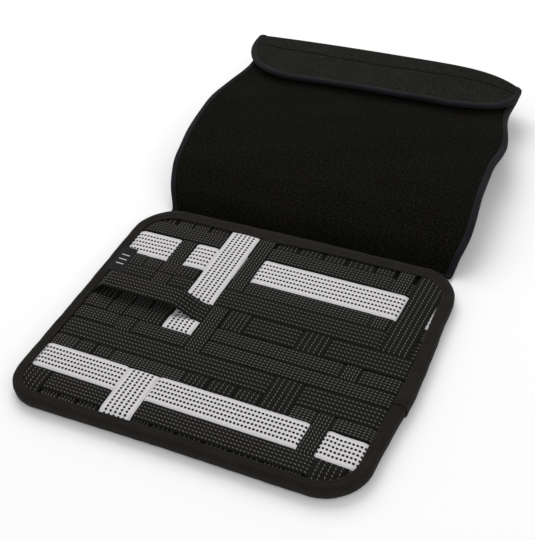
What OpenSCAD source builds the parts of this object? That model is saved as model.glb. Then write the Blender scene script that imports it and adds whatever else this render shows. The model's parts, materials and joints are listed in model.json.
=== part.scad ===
// Cable organizer pouch: a bound board with a grid of elastic straps, and a padded
// flap that folds over it. Millimetres, +Z up, the flap at +Y, the underside at z = 0.

/* [Board] */
// Width of the board over its binding
board_w = 282; // [240:1:320]
// Depth of the board over its binding
board_d = 236; // [200:1:280]
// Thickness of the bound edge
board_t = 12; // [9:0.5:16]
// Radius of the board's corners
corner_r = 33; // [15:1:50]
// Width of the binding tape on the faces
binding_w = 9.5; // [5:0.5:14]
// Thickness of the binding tape
binding_t = 1; // [0.6:0.1:2]

/* [Straps] */
// Turn of the strap grid against the board, in degrees
grid_turn = -0.7; // [-3:0.1:3]
// Thickness of a strap
strap_t = 0.9; // [0.6:0.1:1.4]
// How far the phone strap stands above its flat position
strap_lift = 8.6; // [6:0.2:12]

/* [Flap] */
// Length of the flap along its surface, hinge to fold
flap_len = 257; // [240:1:270]
// Thickness of the flap's outer layer
shell_t = 2.8; // [2:0.2:4]
// Thickness of the flap's plush lining
lining_t = 1.4; // [1:0.2:2.5]
// Width of the binding on the flap's edges
flap_binding_w = 5; // [3:0.5:9]
// Depth of the lip folded over the flap's end
lip_d = 64; // [40:1:80]
// Slope of the lip above the flap, in degrees
lip_slope = 1.5; // [1:0.5:4]

/* [Hidden] */
$fn = 96;
gap = 0.3;

// ---- layers of the board, from the table up
panel_z = binding_t;
panel_t = 2;
stiffener_z = panel_z + panel_t;
stiffener_t = 1.6;
foam_z = stiffener_z + stiffener_t;
foam_t = 3.4;
cloth_z = foam_z + foam_t;
cloth_t = 0.6;
strap_low = cloth_z + cloth_t + 0.1;
strap_high = strap_low + strap_t + 0.2;
cavity_top = board_t - binding_t;
wall_t = 1.6;

// ---- strap grid: place across the grid, and width
columns = [
    [-118.6, 20.0], [-99.3, 13.0], [-84.2, 13.0], [-67.2, 16.0], [-44.2, 25.0],
    [-23.3, 12.8], [-5.8, 17.6], [14.9, 19.4], [35.6, 17.6], [57.6, 22.0],
    [78.2, 14.6], [95.0, 13.0], [114.6, 20.6]
];
rows = [
    [88.0, 13.5], [65.5, 26.0], [44.5, 12.5], [27.2, 18.4], [6.8, 18.6], [-11.0, 12.4],
    [-25.2, 12.2], [-42.2, 18.0], [-58.1, 10.4], [-76.2, 22.4], [-96.6, 15.0]
];
// R where the row lies on top of the column, C where the column lies on top of the row
weave = [
    "RRRRCCRRRRRCC",
    "RRCRCCRRRRRRC",
    "RCRCCCRRRRRCC",
    "RRCRCRRRRRRRC",
    "RRRRRCCRRCRRR",
    "RCRCCCRRRRRCR",
    "RRCRRCRRRRRRR",
    "RRRRRRRRRCRRR",
    "RCCRRRCCCCRCR",
    "RRRRCRRRRRRCR",
    "CRRRCRRRRRRRC"
];
row_reach = 137;
column_reach = 116;
jog = 0.4;

// ---- phone strap, along its row
loop_row = 4;
loop_from = -118;
loop_to = -60;
loop_foot_from = -130.2;
loop_foot_to = -34;
loop_end = -32.4;
loop_z = strap_high + strap_lift;

// ---- flap: slope of each section at rest, and its share of the length
flap_slope = [57, 27, 8, -1.5];
flap_steps = [18, 28, 30];
flap_lens = concat(flap_steps, [flap_len - flap_steps[0] - flap_steps[1] - flap_steps[2]]);
flap_from = [120.5, 2.6];
flap_t = lining_t + shell_t;
flap_cut = 0.5;
flap_outline = [
    [110, 123], [121, 123], [134, 127], [155, 132], [184, 137], [210, 139],
    [240, 139], [270, 137.5], [300, 135.5], [330, 134], [400, 133]
];
fold_r = 2.5;
lip_t = 2.8;
lip_corner_r = 22;
lip_w = 264;
lip_binding_w = 4.5;

// ---- colours
black_cloth = [0.09, 0.085, 0.08];
black_strap = [0.13, 0.125, 0.12];
white_strap = [0.86, 0.85, 0.84];
neoprene = [0.16, 0.16, 0.165];
plush = [0.05, 0.048, 0.045];
tape = [0.2, 0.2, 0.2];
foam = [0.3, 0.3, 0.3];
card = [0.35, 0.33, 0.3];

// ================================================================ shared shapes

// a slab with the board's rounded outline, drawn in by the inset
module board_slab(inset, z, t) {
    r = corner_r - inset;
    w = board_w / 2 - inset;
    d = board_d / 2 - inset;
    translate([0, 0, z]) {
        translate([-w + r, -d, 0])
            cube([2 * (w - r), 2 * d, t]);
        translate([-w, -d + r, 0])
            cube([2 * w, 2 * (d - r), t]);
        for (sx = [-1, 1])
            for (sy = [-1, 1])
                translate([sx * (w - r), sy * (d - r), 0])
                    cylinder(r = r, h = t);
    }
}

// a profile drawn as [y, z] points, run along X
module run_x(points, from, to) {
    translate([from, 0, 0])
        rotate([90, 0, 90])
            linear_extrude(height = to - from)
                polygon(points);
}

// a profile drawn as [x, z] points, run along Y
module run_y(points, from, to) {
    translate([0, to, 0])
        rotate([90, 0, 0])
            linear_extrude(height = to - from)
                polygon(points);
}

// the slanted inside of the grid, where straps may lie
module in_grid() {
    intersection() {
        rotate([0, 0, grid_turn])
            children();
        board_slab(wall_t + 0.6, strap_low - 1, board_t);
    }
}

// ================================================================ board

module rear_panel() {
    color(neoprene) {
        board_slab(wall_t, panel_z, panel_t);
        board_slab(binding_w + 0.2, 0, panel_z + 0.5);
    }
}

module stiffener() {
    color(card)
        board_slab(wall_t + 1.2, stiffener_z, stiffener_t);
}

module foam_pad() {
    color(foam)
        board_slab(wall_t + 0.4, foam_z, foam_t);
}

module face_cloth() {
    color(black_cloth)
        board_slab(wall_t, cloth_z, cloth_t);
}

module edge_binding() {
    color(tape)
        difference() {
            union() {
                board_slab(1.5, 0, board_t);
                board_slab(0, 2, board_t - 4);
                board_slab(0.5, 1, board_t - 2);
            }
            board_slab(wall_t, binding_t, cavity_top - binding_t);
            board_slab(binding_w, -1, board_t + 2);
        }
}

// the folded end of the binding tape, lying over its start
module binding_end() {
    inner = board_w / 2 - binding_w - 0.4;
    outer = board_w / 2;
    color(tape)
        run_y([
            [inner, board_t], [inner, board_t + 0.8], [outer - 1.2, board_t + 0.8],
            [outer + 0.8, board_t - 1.8], [outer + 0.8, 2.4], [outer, 2.4],
            [outer, board_t - 2], [outer - 0.5, board_t - 2], [outer - 0.5, board_t - 1],
            [outer - 1.5, board_t - 1], [outer - 1.5, board_t]
        ], -31, -14);
}

module label() {
    color(plush)
        translate([-board_w / 2 + binding_w + 0.3, 23.6, strap_high + strap_t + 0.1])
            cube([12.5, 29.5, 0.5]);
}

// ================================================================ straps

// the middle of the gap between two neighbours
function mid_gap(a, b) =
    (a[0] + b[0] + sign(b[0] - a[0]) * (a[1] - b[1]) / 2) / 2;

// one face of a strap: up and down over its neighbours, lead = -1 above, 1 below
function strap_face(marks, levels, from, to, rise, lead) = [
    [from, levels[0] + rise],
    for (i = [0:len(marks) - 1])
        if (levels[i] != levels[i + 1])
            for (level = [levels[i], levels[i + 1]])
                [marks[i] + lead * jog * sign(levels[i + 1] - levels[i]), level + rise],
    [to, levels[len(levels) - 1] + rise]
];

function reversed(list) = [for (i = [len(list) - 1:-1:0]) list[i]];

function strap_profile(marks, levels, from, to) =
    concat(
        strap_face(marks, levels, from, to, strap_t, -1),
        reversed(strap_face(marks, levels, from, to, 0, 1))
    );

function row_level(i, j) = weave[i][j] == "R" ? strap_high : strap_low;

function column_level(i, j) = weave[i][j] == "R" ? strap_low : strap_high;

module row_strap(number, shade) {
    i = number - 1;
    last = len(columns) - 1;
    first = i == loop_row ? 4 : 0;
    marks = [for (j = [first:last - 1]) mid_gap(columns[j], columns[j + 1])];
    levels = [for (j = [first:last]) row_level(i, j)];
    from = i == loop_row ? loop_end : -row_reach;
    color(shade)
        in_grid()
            run_y(
                strap_profile(marks, levels, from, row_reach),
                rows[i][0] - rows[i][1] / 2,
                rows[i][0] + rows[i][1] / 2
            );
}

module column_strap(number, shade) {
    j = number - 1;
    last = len(rows) - 1;
    marks = [for (i = [last:-1:1]) mid_gap(rows[i], rows[i - 1])];
    levels = [for (i = [last:-1:0]) column_level(i, j)];
    color(shade)
        in_grid()
            run_x(
                strap_profile(marks, levels, -column_reach, column_reach),
                columns[j][0] - columns[j][1] / 2,
                columns[j][0] + columns[j][1] / 2
            );
}

module loop_part(points) {
    color(black_strap)
        rotate([0, 0, grid_turn])
            run_y(
                points,
                rows[loop_row][0] - rows[loop_row][1] / 2,
                rows[loop_row][0] + rows[loop_row][1] / 2
            );
}

module phone_strap() {
    loop_part([
        [loop_from, loop_z], [loop_to, loop_z],
        [loop_to, loop_z + strap_t], [loop_from, loop_z + strap_t]
    ]);
}

module phone_strap_left() {
    end = -row_reach + 0.4;
    top = loop_from - gap;
    loop_part([
        [end, strap_high], [loop_foot_from, strap_high], [top, loop_z - 0.1],
        [top, loop_z + strap_t - 0.1], [loop_foot_from - 0.4, strap_high + strap_t],
        [end, strap_high + strap_t]
    ]);
}

module phone_strap_right() {
    top = loop_to + gap;
    end = loop_end - gap;
    loop_part([
        [top, loop_z - 0.1], [loop_foot_to, strap_high], [end, strap_high],
        [end, strap_high + strap_t], [loop_foot_to + 0.4, strap_high + strap_t],
        [top, loop_z + strap_t - 0.1]
    ]);
}

// ================================================================ flap

function along(angle) = [cos(angle), sin(angle)];

function outward(angle) = [sin(angle), -cos(angle)];

// corners of the flap's inner face, from the hinge to the fold
function flap_corner(k) =
    k == 0 ? flap_from : flap_corner(k - 1) + flap_lens[k - 1] * along(flap_slope[k - 1]);

// slope of the cut between two sections, halfway between their own slopes
function cut_slope(k) =
    k == 0 ? flap_slope[0]
    : k == len(flap_slope) ? flap_slope[k - 1]
    : (flap_slope[k - 1] + flap_slope[k]) / 2;

// a point on the cut at corner k, a depth below the inner face and a step along it
function cut_point(k, depth, step) =
    flap_corner(k)
    + outward(cut_slope(k)) * depth / cos(cut_slope(k) - flap_slope[min(k, 3)])
    + along(cut_slope(k)) * step;

// one layer of one section, between two depths below the inner face
module flap_layer(k, depth_from, depth_to) {
    run_x([
        cut_point(k, depth_from, flap_cut),
        cut_point(k + 1, depth_from, -flap_cut),
        cut_point(k + 1, depth_to, -flap_cut),
        cut_point(k, depth_to, flap_cut)
    ], -150, 150);
}

// everything inside the flap's outline, drawn in by the inset
module flap_plan(inset) {
    right = [for (p = flap_outline) [p[1] - inset, p[0]]];
    left = [for (p = reversed(flap_outline)) [-p[1] + inset, p[0]]];
    translate([0, 0, -10])
        linear_extrude(height = 90)
            polygon(concat(right, left));
}

module flap_shell(number) {
    color(neoprene)
        intersection() {
            flap_layer(number - 1, lining_t, flap_t);
            flap_plan(flap_binding_w);
        }
}

module flap_lining(number) {
    color(plush)
        intersection() {
            flap_layer(number - 1, 0, lining_t);
            flap_plan(flap_binding_w);
        }
}

module flap_binding(number) {
    color(tape)
        difference() {
            intersection() {
                flap_layer(number - 1, -0.2, flap_t + 0.2);
                flap_plan(0);
            }
            flap_plan(flap_binding_w);
        }
}

// ================================================================ lip

fold_at = flap_corner(4);
fold_y = fold_at[0];
fold_z = fold_at[1] + fold_r + 0.3;

// the rolled end of the flap that the lip turns on
module fold_core() {
    color(neoprene)
        translate([-lip_w / 2, fold_y, fold_z])
            rotate([0, 90, 0])
                cylinder(r = fold_r, h = lip_w);
}

// the lip's own frame: turned about the core's centre line
module in_lip() {
    translate([0, fold_y, fold_z])
        rotate([-lip_slope, 0, 0])
            children();
}

// the lip's flat part: free corners rounded, drawn in by the inset
module lip_slab(inset, z, t) {
    r = lip_corner_r - inset;
    w = lip_w / 2 - inset;
    translate([0, 0, z]) {
        translate([-w + r, -lip_d + inset, 0])
            cube([2 * (w - r), lip_d - inset, t]);
        translate([-w, -lip_d + inset + r, 0])
            cube([2 * w, lip_d - inset - r, t]);
        for (side = [-1, 1])
            translate([side * (w - r), -lip_d + inset + r, 0])
                cylinder(r = r, h = t);
    }
}

// the quarter shell that carries the lip round the core
module lip_bend(from, to, z, t) {
    translate([from, 0, 0])
        rotate([0, 90, 0])
            rotate([0, 0, 90])
                rotate_extrude(angle = 90)
                    translate([z, 0])
                        square([t, to - from]);
}

module lip_panel() {
    side = lip_w / 2 - lip_binding_w;
    color(neoprene)
        in_lip() {
            lip_slab(lip_binding_w, fold_r + gap, lip_t);
            lip_bend(-side, side, fold_r + gap, lip_t);
        }
}

module lip_binding() {
    side = lip_w / 2;
    color(tape)
        in_lip() {
            difference() {
                lip_slab(0, fold_r + gap, lip_t + 0.3);
                lip_slab(lip_binding_w, 0, 20);
            }
            lip_bend(-side, -side + lip_binding_w, fold_r + gap, lip_t + 0.3);
            lip_bend(side - lip_binding_w, side, fold_r + gap, lip_t + 0.3);
        }
}

module lip_seam() {
    color(tape)
        in_lip()
            translate([-lip_w / 2 + 9, -0.33 * lip_d, fold_r + gap + lip_t])
                cube([lip_w - 18, 0.8, 0.4]);
}

// ================================================================ nodes

rear_panel();
stiffener();
foam_pad();
face_cloth();
edge_binding();
binding_end();
label();
row_strap(1, black_strap);  // row_strap_1
row_strap(2, white_strap);  // row_strap_2
row_strap(3, black_strap);  // row_strap_3
row_strap(4, black_strap);  // row_strap_4
row_strap(5, black_strap);  // row_strap_5
row_strap(6, black_strap);  // row_strap_6
row_strap(7, black_strap);  // row_strap_7
row_strap(8, black_strap);  // row_strap_8
row_strap(9, black_strap);  // row_strap_9
row_strap(10, white_strap);  // row_strap_10
row_strap(11, black_strap);  // row_strap_11
phone_strap();
phone_strap_left();
phone_strap_right();
column_strap(1, black_strap);  // column_strap_1
column_strap(2, black_strap);  // column_strap_2
column_strap(3, black_strap);  // column_strap_3
column_strap(4, black_strap);  // column_strap_4
column_strap(5, white_strap);  // column_strap_5
column_strap(6, black_strap);  // column_strap_6
column_strap(7, black_strap);  // column_strap_7
column_strap(8, black_strap);  // column_strap_8
column_strap(9, black_strap);  // column_strap_9
column_strap(10, black_strap);  // column_strap_10
column_strap(11, black_strap);  // column_strap_11
column_strap(12, black_strap);  // column_strap_12
column_strap(13, black_strap);  // column_strap_13
flap_shell(1);  // flap_shell_1
flap_shell(2);  // flap_shell_2
flap_shell(3);  // flap_shell_3
flap_shell(4);  // flap_shell_4
flap_lining(1);  // flap_lining_1
flap_lining(2);  // flap_lining_2
flap_lining(3);  // flap_lining_3
flap_lining(4);  // flap_lining_4
flap_binding(1);  // flap_binding_1
flap_binding(2);  // flap_binding_2
flap_binding(3);  // flap_binding_3
flap_binding(4);  // flap_binding_4
fold_core();
lip_panel();
lip_binding();
lip_seam();
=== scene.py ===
"""Cable organizer pouch: the looks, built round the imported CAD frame.

Lengths are in millimetres until build() turns them into metres.
"""
import json
import math

import bmesh
import bpy
import numpy as np
from mathutils import Matrix, Vector
from mathutils.bvhtree import BVHTree


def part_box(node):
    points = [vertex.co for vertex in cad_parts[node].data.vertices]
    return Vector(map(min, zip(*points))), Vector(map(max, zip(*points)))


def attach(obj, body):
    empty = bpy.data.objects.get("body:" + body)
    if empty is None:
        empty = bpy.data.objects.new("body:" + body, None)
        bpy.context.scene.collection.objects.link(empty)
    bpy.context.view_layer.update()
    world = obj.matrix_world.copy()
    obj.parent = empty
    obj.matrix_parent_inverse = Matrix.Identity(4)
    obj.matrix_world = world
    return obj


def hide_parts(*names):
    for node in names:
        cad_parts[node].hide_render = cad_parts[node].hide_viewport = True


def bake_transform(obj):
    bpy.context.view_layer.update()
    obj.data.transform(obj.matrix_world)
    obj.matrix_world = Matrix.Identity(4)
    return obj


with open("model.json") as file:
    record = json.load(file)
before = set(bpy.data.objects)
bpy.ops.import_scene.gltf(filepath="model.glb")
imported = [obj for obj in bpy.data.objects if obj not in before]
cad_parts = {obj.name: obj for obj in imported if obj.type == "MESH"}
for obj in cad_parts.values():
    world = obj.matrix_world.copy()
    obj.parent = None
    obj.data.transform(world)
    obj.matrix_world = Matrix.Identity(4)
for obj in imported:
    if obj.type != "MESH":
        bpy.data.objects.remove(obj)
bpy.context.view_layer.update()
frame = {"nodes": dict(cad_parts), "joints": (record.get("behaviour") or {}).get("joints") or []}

MM = 0.001
NODES = frame["nodes"]
JOINTS = {joint["name"]: joint for joint in frame["joints"]}

# ---------------- driving sizes

# how the strap grid is turned on the board, in degrees
GRID_TURN = -0.7
# the board's outline: corner x, corner y, corner radius, bow of the side that follows
CORNERS = [
    (-138.7, -118.2, 27.5, -0.8),
    (139.0, -116.6, 35.0, 3.3),
    (139.0, 113.2, 31.5, 1.0),
    (-138.8, 112.8, 35.5, -0.5),
]
OUTLINE_STEP = 2.5
# the layers inside the binding end this far in from the outline
LAYER_INSET = 1.7
# a layer's flat faces are rings up to this inset, closed by one face
CAP_INSET = 16
BINDING_W = 9.5
# the binding is wider along the rear, most of all by the white column, and narrower along the front
REAR_WIDER = 0.26
SWELL = 0.22
SWELL_X = -22.0
SWELL_REACH = 34.0
FRONT_NARROWER = 0.18
SEAM_INSET = 6.3
SEAM_PITCH = 3.6
# the height of the binding's stitches, and which way they face
SEAM_SIDES = ((11.66, 1.0), (0.42, -1.0))
# the tape's lapped end runs as far as this y, from the near end of its packed place
LAP_END_Y = 6.0

STRAP_T = 1.1
# the height of a strap's underside: under its neighbours, over them, and at its ends
STRAP_LOW = 8.75
STRAP_HIGH = 10.3
STRAP_TUCK = 8.9
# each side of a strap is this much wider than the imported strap, less for two columns
STRAP_EXTRA = 0.85
CLOSE_COLUMNS = (5, 12)
CLOSE_LESS = 0.7
STRAP_END_INSET = 4.0
# an end that isn't under the binding is moved this far, out of tucked()'s reach
FREE_END = 40
# half the length along a strap in which it climbs over a neighbour
STRAP_RISE = 2.5
STRAP_STEP = 1.5
# a packed column with its top below this lies under the row
WEAVE_MIDDLE = 10.2
WHITE_STRAPS = ("row_strap_2", "row_strap_10", "column_strap_5")
# the raised strap's row, and where it starts to rise, is up, starts to fall and is down
LOOP_ROW = 5
LOOP_START = -130.5
LOOP_RISEN = -118.0
LOOP_FALLS = -60.0
LOOP_END = -34.0
# it stands this much clear of its packed place, so that it lies on the columns when flat
PHONE_CLEAR = 0.9
PHONE_NARROWER = 0.7
# the rows lie this much nearer than the grid, and some of them wander: along, offset
ROW_SHIFT = -1.2
ROW_LEANS = {
    1: [(-130, -2.4), (-40, -1.2), (130, -0.4)],
    2: [(-130, -2.7), (-40, -1.0), (130, -0.5)],
    3: [(-130, -1.9), (-40, -0.8), (130, -0.3)],
    4: [(-130, -0.4), (-40, 0.0)],
    5: [(-60, 0.3), (-34, 0.0)],
    10: [(94, 0.5), (112, -1.3)],
}
COLUMN_LEANS = {
    12: [(-110, -2.8), (-60, -1.0), (110, 1.2)],
    13: [(-110, -0.8), (0, 0.8), (110, 3.0)],
}

FLAP_T = 4.2
LINING_T = 1.4
FLAP_STEP = 2.5
# where the flap's cloth starts before its first hinge, and its slope there in degrees
FLAP_ROOT = -5.0
ROOT_SLOPE = -30.0
# half the length of the flap's bend at each hinge
ROOT_EASE = 2.5
HINGE_EASE = (8.0, 12.0, 16.0)
PATH_STEP = 0.25
# the flap's half width at distances along it
FLAP_WIDTHS = [(-5, 125.3), (2, 126.2), (18, 130.8), (32, 134.5), (46, 136.0), (60, 136.3), (76, 136.9),
               (105, 138.3), (120, 138.4), (140, 139.6), (160, 139.3), (180, 136.0), (200, 131.0),
               (215, 129.2), (235, 130.2), (257, 132)]
# the flap's middle line: distance along, x, which leans to the left towards the fold
FLAP_MIDDLES = [(-5, 1.0), (18, -0.2), (32, -1.4), (46, -3.0), (60, -4.8), (76, -7.3), (105, -10.7),
                (120, -11.9), (140, -11.6), (165, -10.8), (200, -12.6), (257, -17.3)]
# how far the fold's right and left ends lie nearer, and lower, than its middle, and how suddenly
FOLD_BOW = (15.0, 6.0)
FOLD_DROOP = (5.5, -1.5)
FOLD_POWER = (5.0, 2.3)
FOLD_HALF = 132.0
# the whole fold lies this much lower than packed; the flap comes to it from here, over this length
FOLD_SETTLE = 1.2
FOLD_FROM = 110.0
FOLD_OVER = 150.0
# the roll in the fold, and the middle radius of the cloth round it
CORE_R = 2.5
WRAP_R = 4.9
WRAP_LEN = math.pi * WRAP_R

LIP_T = 2.8
LIP_D = 66.0
LIP_HALF = 134.5
LIP_INSET = 1.3
LIP_SLOPE = 1.5
# how much shorter its right side is, as a share, and how much its sides draw in round the fold
LIP_SKEW = 0.035
WRAP_DRAWN_IN = 5.0
# its rounded corners take up this much of the half width and of the length
LIP_CORNER_X = 62.0
LIP_CORNER_Q = 59.0
# the stitched line's distance from the fold, and the shares by which its right and left ends come nearer
LIP_SEAM = 21.0
LIP_SEAM_BOW = (0.52, 0.36)
LIP_SEAM_PITCH = 2.8

# the floor and the lights, in metres
FLOOR_HALF = 6.0
FLOOR_Z = -0.0003
WORLD_LIGHT = 0.62
# name, place, size, power
LIGHTS = (
    ("key", (-0.7, 1.1, 1.5), 1.4, 20.0),
    ("fill", (1.2, -0.9, 1.3), 1.6, 9.0),
)
LIGHTS_AIM = (0, 0.08, 0)
# yaw, pitch and roll in degrees, place in millimetres
CAMERA_TURN = (28.851, 41.056, -5.862)
CAMERA_PLACE = (303.82, -499.50, 574.76)
CAMERA_LENS = 72.26

# ---------------- small maths


def smooth(t):
    """Smoothstep of t, clipped to 0..1."""
    t = np.clip(t, 0.0, 1.0)
    return t * t * (3 - 2 * t)


def rotated(x, y, degrees):
    a = math.radians(degrees)
    return x * math.cos(a) - y * math.sin(a), x * math.sin(a) + y * math.cos(a)


def turned(u, v):
    """Grid axes to the board's x and y."""
    return rotated(u, v, GRID_TURN)


def to_grid(points):
    """Places on the board to grid axes."""
    return rotated(points[:, 0], points[:, 1], -GRID_TURN)


def ripple(a, b, size, seed):
    """A smooth wavy number in about -1..1, for cloth that isn't quite even."""
    x, y = np.asarray(a) / size, np.asarray(b) / size
    return (
        np.sin(x * 1.7 + seed) * np.cos(y * 1.3 - seed * 2)
        + 0.5 * np.sin(x * 3.9 - y * 2.1 + seed * 3)
    ) / 1.5


# ---------------- materials


def new_material(name, colour, roughness, sheen=0.0, specular=0.05):
    material = bpy.data.materials.new(name)
    material.use_nodes = True
    shader = material.node_tree.nodes["Principled BSDF"]
    shader.inputs["Base Color"].default_value = (*colour, 1)
    shader.inputs["Roughness"].default_value = roughness
    shader.inputs["Specular IOR Level"].default_value = specular
    shader.inputs["Sheen Weight"].default_value = sheen
    shader.inputs["Sheen Roughness"].default_value = 0.5
    return material


class Nodes:
    """Short ways to add and join a material's nodes."""

    def __init__(self, material):
        self.tree = material.node_tree
        self.shader = self.tree.nodes["Principled BSDF"]

    def add(self, kind, **settings):
        node = self.tree.nodes.new(kind)
        for key, value in settings.items():
            setattr(node, key, value)
        return node

    def put(self, socket, value):
        if isinstance(value, bpy.types.NodeSocket):
            self.tree.links.new(value, socket)
        else:
            socket.default_value = value

    def math(self, operation, *values):
        node = self.add("ShaderNodeMath", operation=operation)
        for socket, value in zip(node.inputs, values):
            self.put(socket, value)
        return node.outputs[0]

    def cloth(self):
        """The piece's own cloth coordinates in millimetres: along, across, half width."""
        return self.add("ShaderNodeAttribute", attribute_name="cloth").outputs["Vector"]

    def parts(self, vector):
        node = self.add("ShaderNodeSeparateXYZ")
        self.put(node.inputs[0], vector)
        return node.outputs

    def noise(self, vector, scale, detail=2.0, stretch=(1, 1, 1)):
        mapping = self.add("ShaderNodeMapping")
        mapping.inputs["Scale"].default_value = stretch
        self.put(mapping.inputs["Vector"], vector)
        node = self.add("ShaderNodeTexNoise")
        self.put(node.inputs["Vector"], mapping.outputs[0])
        node.inputs["Scale"].default_value = scale
        node.inputs["Detail"].default_value = detail
        return node.outputs["Fac"]

    def ramp(self, value, low, high):
        """0 below low, 1 above high."""
        node = self.add("ShaderNodeMapRange", interpolation_type="SMOOTHSTEP")
        self.put(node.inputs["Value"], value)
        node.inputs["From Min"].default_value = low
        node.inputs["From Max"].default_value = high
        return node.outputs[0]

    def mix(self, share, a, b):
        node = self.add("ShaderNodeMix", data_type="RGBA")
        self.put(node.inputs["Factor"], share)
        for socket, value in ((node.inputs[6], a), (node.inputs[7], b)):
            self.put(socket, value if isinstance(value, bpy.types.NodeSocket) else (*value, 1))
        return node.outputs[2]

    def fall(self, value, low, high):
        """1 below low, 0 above high."""
        return self.math("SUBTRACT", 1.0, self.ramp(value, low, high))

    def total(self, *pairs):
        """The sum of values, each times its own weight."""
        terms = [self.math("MULTIPLY", value, weight) for value, weight in pairs]
        while len(terms) > 1:
            terms[:2] = [self.math("ADD", *terms[:2])]
        return terms[0]

    def wave(self, value, pitch):
        return self.math("SINE", self.math("MULTIPLY", value, 2 * math.pi / pitch))

    def knit(self, along_pitch, across_pitch):
        """Rows and columns of small loops."""
        along, across = self.parts(self.cloth())[0:2]
        return self.math("MULTIPLY", self.wave(along, along_pitch), self.wave(across, across_pitch))

    def bump(self, height, strength, distance):
        node = self.add("ShaderNodeBump")
        node.inputs["Strength"].default_value = strength
        node.inputs["Distance"].default_value = distance
        self.put(node.inputs["Height"], height)
        self.put(self.shader.inputs["Normal"], node.outputs[0])

    def colour(self, value):
        self.put(self.shader.inputs["Base Color"], value)


def strap_material(name, ground, mark, edge, margin_tone, pitch_share, mark_long, mark_wide, slant):
    """Ribbed elastic with five rows of woven marks and plain ribbed borders."""
    material = new_material(name, ground, 0.8, sheen=0.02, specular=0.08)
    n = Nodes(material)
    cloth = n.cloth()
    along, across, half = n.parts(cloth)[0:3]
    mark_rows, mark_pitch = 5, 2.95
    pitch = n.math("MULTIPLY", half, 2 * pitch_share)
    row = n.math("DIVIDE", across, pitch)
    nearest = n.math("ROUND", row)
    off_row = n.math("MULTIPLY", n.math("SUBTRACT", row, nearest), pitch)
    inside = n.math("LESS_THAN", n.math("ABSOLUTE", nearest), mark_rows / 2)
    step = n.math("ADD", n.math("DIVIDE", along, mark_pitch), n.math("MULTIPLY", off_row, slant))
    off_step = n.math("MULTIPLY", n.math("SUBTRACT", step, n.math("ROUND", step)), mark_pitch)
    long_share, wide_share = n.math("DIVIDE", off_step, mark_long), n.math("DIVIDE", off_row, mark_wide)
    radius = n.math("ADD", n.math("MULTIPLY", long_share, long_share),
                    n.math("MULTIPLY", wide_share, wide_share))
    marked = n.math("MULTIPLY", n.fall(radius, 0.7, 1.35), inside)
    ribs, weft = n.wave(across, 1.25), n.wave(along, 0.74)
    fuzz = n.noise(cloth, 1.6, 3.0)
    base = n.mix(n.ramp(fuzz, 0.25, 0.75), ground, edge)
    margin_line, margin_strength = 0.90, 0.55
    out = n.math("DIVIDE", n.math("ABSOLUTE", across), half)
    off_line = n.math("ABSOLUTE", n.math("SUBTRACT", out, margin_line))
    margin = n.math("MULTIPLY", n.fall(off_line, 0.012, 0.035), margin_strength)
    base = n.mix(margin, base, margin_tone)
    n.colour(n.mix(marked, base, mark))
    n.bump(n.total((ribs, 0.30), (weft, 0.16), (marked, 0.5), (fuzz, 0.35)), 0.55, 0.0005)
    return material


def tape_material(name, dark, light, sheen):
    """Stretch binding tape: a fine cross rib with a soft brushed face."""
    material = new_material(name, dark, 0.85, sheen=sheen)
    n = Nodes(material)
    cloth = n.cloth()
    rib = n.wave(n.parts(cloth)[0], 0.9)
    fuzz = n.noise(cloth, 0.9, 4.0, (1, 1.6, 1))
    patch = n.noise(cloth, 0.06, 2.0)
    shade = n.total((fuzz, 0.7), (patch, 0.3))
    n.colour(n.mix(n.ramp(shade, 0.3, 0.7), dark, light))
    n.bump(n.total((rib, 0.25), (fuzz, 1.0)), 0.5, 0.0004)
    return material


def neoprene_material():
    """Smooth knit over foam rubber, with a fine grain."""
    material = new_material("neoprene", (0.0060, 0.0060, 0.0045), 0.8, sheen=0.01, specular=0.05)
    n = Nodes(material)
    cloth = n.cloth()
    knit = n.knit(0.8, 0.7)
    grain = n.noise(cloth, 1.1, 3.0)
    patch = n.noise(cloth, 0.03, 2.0)
    base = n.mix(n.ramp(patch, 0.3, 0.7), (0.0030, 0.0031, 0.0020), (0.0046, 0.0047, 0.0032))
    speck = n.noise(cloth, 1.15, 2.0)
    n.colour(n.mix(n.ramp(speck, 0.48, 0.66), base, (0.0210, 0.0208, 0.0168)))
    n.bump(n.total((knit, 0.35), (grain, 1.0)), 0.4, 0.0005)
    return material


def plush_material():
    """Short brushed pile: fine fibres, with soft patches where the nap lies over, and painted shade across
    the middle of the flap where it sags.
    """
    material = new_material("plush", (0.004, 0.004, 0.003), 0.95, sheen=0.015, specular=0.03)
    n = Nodes(material)
    cloth = n.cloth()
    fibre = n.noise(cloth, 1.3, 5.0, (1, 1.8, 1))
    tuft = n.noise(cloth, 0.28, 3.0)
    nap = n.noise(cloth, 0.018, 2.0)
    speck = n.noise(cloth, 0.62, 2.0)
    shade = n.total((tuft, 0.5), (nap, 0.5))
    base = n.mix(n.ramp(shade, 0.35, 0.65), (0.0018, 0.0017, 0.0009), (0.0036, 0.0034, 0.0022))
    # painted shade: the middle of the flap, where it sags, is darkened towards near black
    along = n.parts(cloth)[0]
    sag_shade_painted = n.math("MINIMUM", n.ramp(along, 30, 95), n.fall(along, 120, 190))
    base = n.mix(n.math("MULTIPLY", sag_shade_painted, 0.8), base, (0.0007, 0.0006, 0.0003))
    tips = n.math("MAXIMUM", n.ramp(fibre, 0.52, 0.72), n.ramp(speck, 0.50, 0.66))
    n.colour(n.mix(tips, base, (0.0112, 0.0104, 0.0072)))
    n.bump(n.total((fibre, 1.0), (tuft, 0.8)), 0.8, 0.0009)
    return material


def cloth_material():
    """The dark knitted face under the straps."""
    material = new_material("cloth", (0.006, 0.0055, 0.005), 0.9)
    n = Nodes(material)
    knit = n.knit(1.4, 1.1)
    n.colour(n.mix(n.ramp(knit, -0.6, 0.8), (0.0035, 0.0032, 0.0028), (0.0075, 0.0070, 0.0062)))
    n.bump(knit, 0.5, 0.0004)
    return material


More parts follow.
